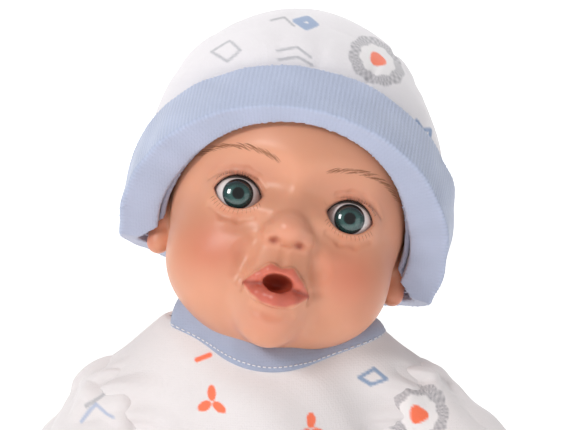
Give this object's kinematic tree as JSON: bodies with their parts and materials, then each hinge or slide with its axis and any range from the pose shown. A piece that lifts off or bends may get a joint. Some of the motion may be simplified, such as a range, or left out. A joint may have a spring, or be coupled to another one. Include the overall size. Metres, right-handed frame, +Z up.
{
  "type": "interactive baby doll",
  "caption": "Seated soft-bodied baby doll with a vinyl head, moving eyes, a battery sound module, press buttons, a knit hat and a long-sleeved romper.",
  "frame": {"origin": "middle of the flat seat, on the surface the doll sits on", "axes": "+Z up, the face looks along -Y, the doll's left is +X"},
  "size_m": [0.2302, 0.2225, 0.2685],
  "materials": {
    "vinyl": "soft matt vinyl",
    "eye_white": "gloss",
    "iris": "gloss",
    "clear": "clear",
    "steel": "plain",
    "lash": "fibre",
    "body_cloth": "woven",
    "tie": "moulded",
    "jersey": "printed knit",
    "blue_knit": "rib knit",
    "button_plastic": "moulded",
    "module_plastic": "fine texture",
    "snap": "gloss",
    "cell": "satin",
    "board": "solder mask",
    "component": "moulded",
    "cone": "pressed"
  },
  "bodies": {
    "torso": {"torso_stuffing": "body_cloth", "torso_cover": "body_cloth", "romper_body": "jersey", "collar_binding": "blue_knit", "back_snaps": "snap", "front_case": "module_plastic", "rear_case": "module_plastic", "battery_door": "module_plastic", "screws": "steel", "batteries": "cell", "battery_contacts": "steel", "circuit_board": "board", "board_parts": "component", "speaker_frame": "module_plastic", "speaker_magnet": "steel", "speaker_cone": "cone"},
    "switch": {"power_switch": "button_plastic"},
    "tummy": {"tummy_button": "button_plastic"},
    "neck": {"neck_core": "body_cloth"},
    "neck_collar": {"neck_disc": "module_plastic", "neck_tie": "tie"},
    "head": {"head_shell": "vinyl", "eye_cups": "module_plastic"},
    "hat": {"hat_crown": "jersey", "hat_cuff": "blue_knit"},
    "eye_right": {"eyeball_right": "eye_white", "iris_right": "iris", "cornea_right": "clear", "eye_pin_right": "steel", "eye_weight_right": "steel", "eyelashes_right": "lash"},
    "arm_right": {"upper_arm_right": "body_cloth", "forearm_right": "vinyl", "arm_tie_right": "tie", "sleeve_right": "jersey", "sleeve_cuff_right": "blue_knit"},
    "hand_right": {"hand_button_right": "button_plastic"},
    "leg_right": {"thigh_right": "body_cloth", "lower_leg_right": "vinyl", "leg_tie_right": "tie", "trouser_leg_right": "jersey", "ankle_cuff_right": "blue_knit"},
    "eye_left": {"eyeball_left": "eye_white", "iris_left": "iris", "cornea_left": "clear", "eye_pin_left": "steel", "eye_weight_left": "steel", "eyelashes_left": "lash"},
    "arm_left": {"upper_arm_left": "body_cloth", "forearm_left": "vinyl", "arm_tie_left": "tie", "sleeve_left": "jersey", "sleeve_cuff_left": "blue_knit"},
    "hand_left": {"hand_button_left": "button_plastic"},
    "leg_left": {"thigh_left": "body_cloth", "lower_leg_left": "vinyl", "leg_tie_left": "tie", "trouser_leg_left": "jersey", "ankle_cuff_left": "blue_knit"}
  },
  "joints": [
    {"name": "neck_nod", "type": "hinge", "parent": "torso", "child": "neck", "pos_m": [-0.004, 0, 0.137], "axis": [1, 0, 0], "range_deg": [-10, 3]},
    {"name": "neck_lean", "type": "hinge", "parent": "neck", "child": "neck_collar", "pos_m": [-0.004, 0, 0.137], "axis": [0, 1, 0], "range_deg": [-22, 2]},
    {"name": "head_turn", "type": "hinge", "parent": "neck_collar", "child": "head", "pos_m": [-0.004, 0, 0.137], "axis": [0.2133, 0.2419, 0.9466], "range_deg": [-16, 16]},
    {"name": "hat_off", "type": "slide", "parent": "head", "child": "hat", "axis": [0.1345, 0.7546, 0.6422], "range_m": [0, 0.13]},
    {"name": "power_switch_slide", "type": "slide", "parent": "torso", "child": "switch", "axis": [1, 0, 0], "range_m": [0, 0.003]},
    {"name": "tummy_press", "type": "slide", "parent": "torso", "child": "tummy", "axis": [0, 1, 0], "range_m": [0, 0.0015], "stiffness_N_per_m": 900},
    {"name": "eye_right_close", "type": "hinge", "parent": "head", "child": "eye_right", "pos_m": [-0.01031, -0.02805, 0.20475], "axis": [0.9745, 0.0169, -0.2239], "range_deg": [0, 50]},
    {"name": "shoulder_right", "type": "hinge", "parent": "torso", "child": "arm_right", "pos_m": [-0.058, 0, 0.117], "axis": [1, 0, 0], "range_deg": [-60, 15]},
    {"name": "hand_right_squeeze", "type": "slide", "parent": "arm_right", "child": "hand_right", "axis": [0, 0, 1], "range_m": [0, 0.0012], "stiffness_N_per_m": 700},
    {"name": "hip_right", "type": "hinge", "parent": "torso", "child": "leg_right", "pos_m": [-0.029, -0.034, 0.0245], "axis": [1, 0, 0], "range_deg": [-15, 45]},
    {"name": "eye_left_close", "type": "hinge", "parent": "head", "child": "eye_left", "pos_m": [0.03217, -0.02731, 0.19499], "axis": [0.9745, 0.0169, -0.2239], "range_deg": [0, 50]},
    {"name": "shoulder_left", "type": "hinge", "parent": "torso", "child": "arm_left", "pos_m": [0.058, 0, 0.117], "axis": [1, 0, 0], "range_deg": [-60, 15]},
    {"name": "hand_left_squeeze", "type": "slide", "parent": "arm_left", "child": "hand_left", "axis": [0, 0, 1], "range_m": [0, 0.0012], "stiffness_N_per_m": 700},
    {"name": "hip_left", "type": "hinge", "parent": "torso", "child": "leg_left", "pos_m": [0.029, -0.034, 0.0245], "axis": [1, 0, 0], "range_deg": [-15, 45]}
  ]
}
